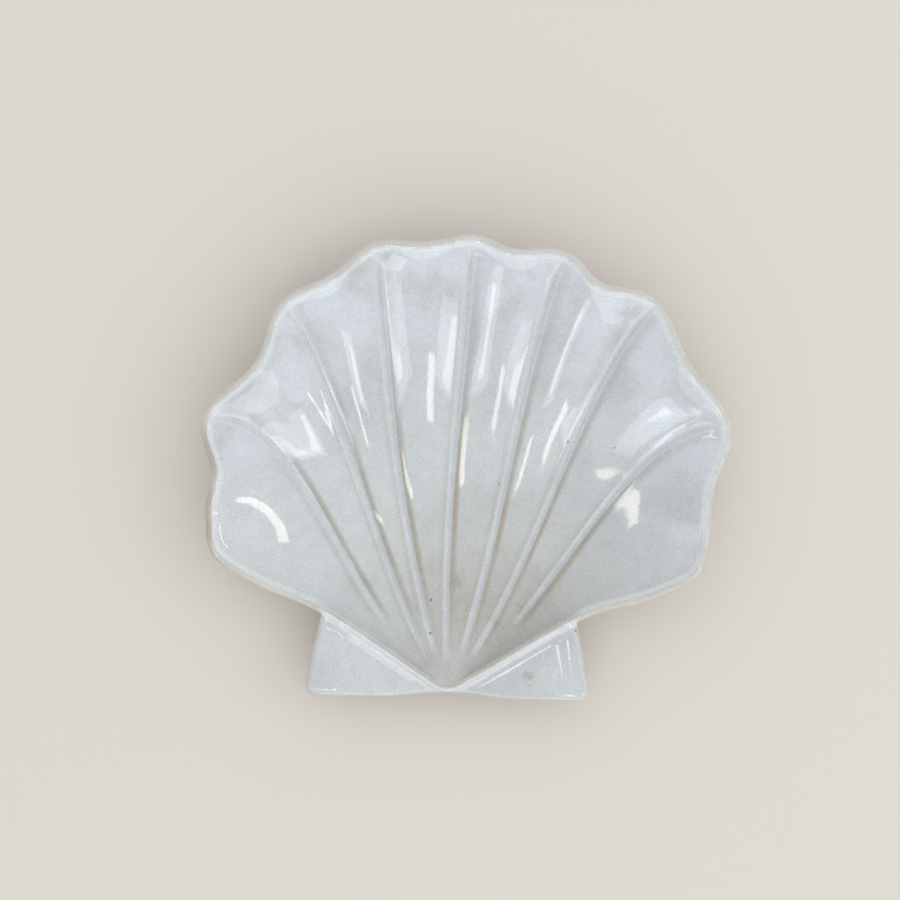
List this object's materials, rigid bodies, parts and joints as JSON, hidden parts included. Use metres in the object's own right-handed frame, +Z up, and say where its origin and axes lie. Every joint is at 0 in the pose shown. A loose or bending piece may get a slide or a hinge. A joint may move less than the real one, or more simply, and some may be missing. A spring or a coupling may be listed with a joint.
{
  "type": "shell platter",
  "caption": "Shallow scallop-shaped serving dish in pale gloss-glazed stoneware, with a fluted fan-shaped bowl, flat hinge ears and a foot ring.",
  "frame": {"origin": "under the middle of the platter's box, on the table it stands on", "axes": "+X across the fan to the right, +Y from the hinge ears to the top of the fan, +Z up out of the dish"},
  "size_m": [0.2412, 0.2124, 0.0368],
  "materials": {
    "glaze": "gloss, cool off-white, thinning to buff on the lip"
  },
  "bodies": {
    "root": {"shell_platter": "glaze"}
  },
  "joints": []
}
